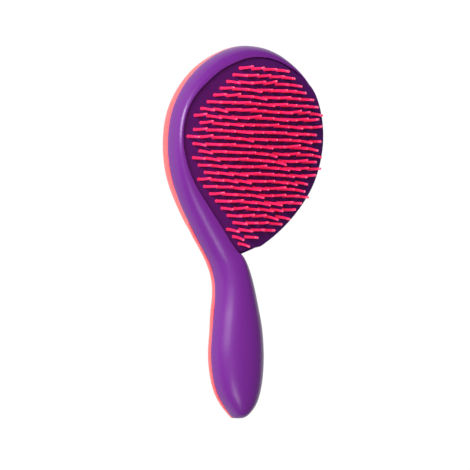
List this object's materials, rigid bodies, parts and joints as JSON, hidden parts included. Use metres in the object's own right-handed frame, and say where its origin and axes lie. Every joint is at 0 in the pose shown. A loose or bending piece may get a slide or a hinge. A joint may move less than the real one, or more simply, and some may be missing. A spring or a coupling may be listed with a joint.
{
  "type": "detangling hair brush",
  "caption": "Teardrop-headed detangling hair brush with a curved neck, bulged two-shell handle and a field of long tapered flexible pins.",
  "frame": {"origin": "centre of the bounding box in X and Y, on the plane that the flat back of the head rests on", "axes": "+Z along the pins, away from the back of the head; +Y along the brush from the handle end to the top of the head; +X to the right when the pins face the viewer and the head is up"},
  "size_m": [0.0941, 0.2002, 0.0373],
  "materials": {
    "front_shell": "polished injection-moulded plastic, saturated purple",
    "back_shell": "polished injection-moulded plastic, coral pink",
    "face_pad": "satin moulded plastic, dark purple",
    "retainer_plate": "plain moulded plastic, hidden inside the head",
    "pins": "flexible nylon, slightly translucent crimson pink"
  },
  "bodies": {
    "root": {"front_shell": "front_shell", "back_shell": "back_shell", "face_pad": "face_pad", "retainer_plate": "retainer_plate", "pin_row_01": "pins", "pin_row_02": "pins", "pin_row_03": "pins", "pin_row_04": "pins", "pin_row_05": "pins", "pin_row_06": "pins", "pin_row_07": "pins", "pin_row_08": "pins", "pin_row_09": "pins", "pin_row_10": "pins", "pin_row_11": "pins", "pin_row_12": "pins", "pin_row_13": "pins", "pin_row_14": "pins", "pin_row_15": "pins", "pin_row_16": "pins", "pin_row_17": "pins", "pin_row_18": "pins", "pin_row_19": "pins", "pin_row_20": "pins", "pin_row_21": "pins", "pin_row_22": "pins", "pin_row_23": "pins", "pin_row_24": "pins", "pin_row_25": "pins", "pin_row_26": "pins"}
  },
  "joints": []
}
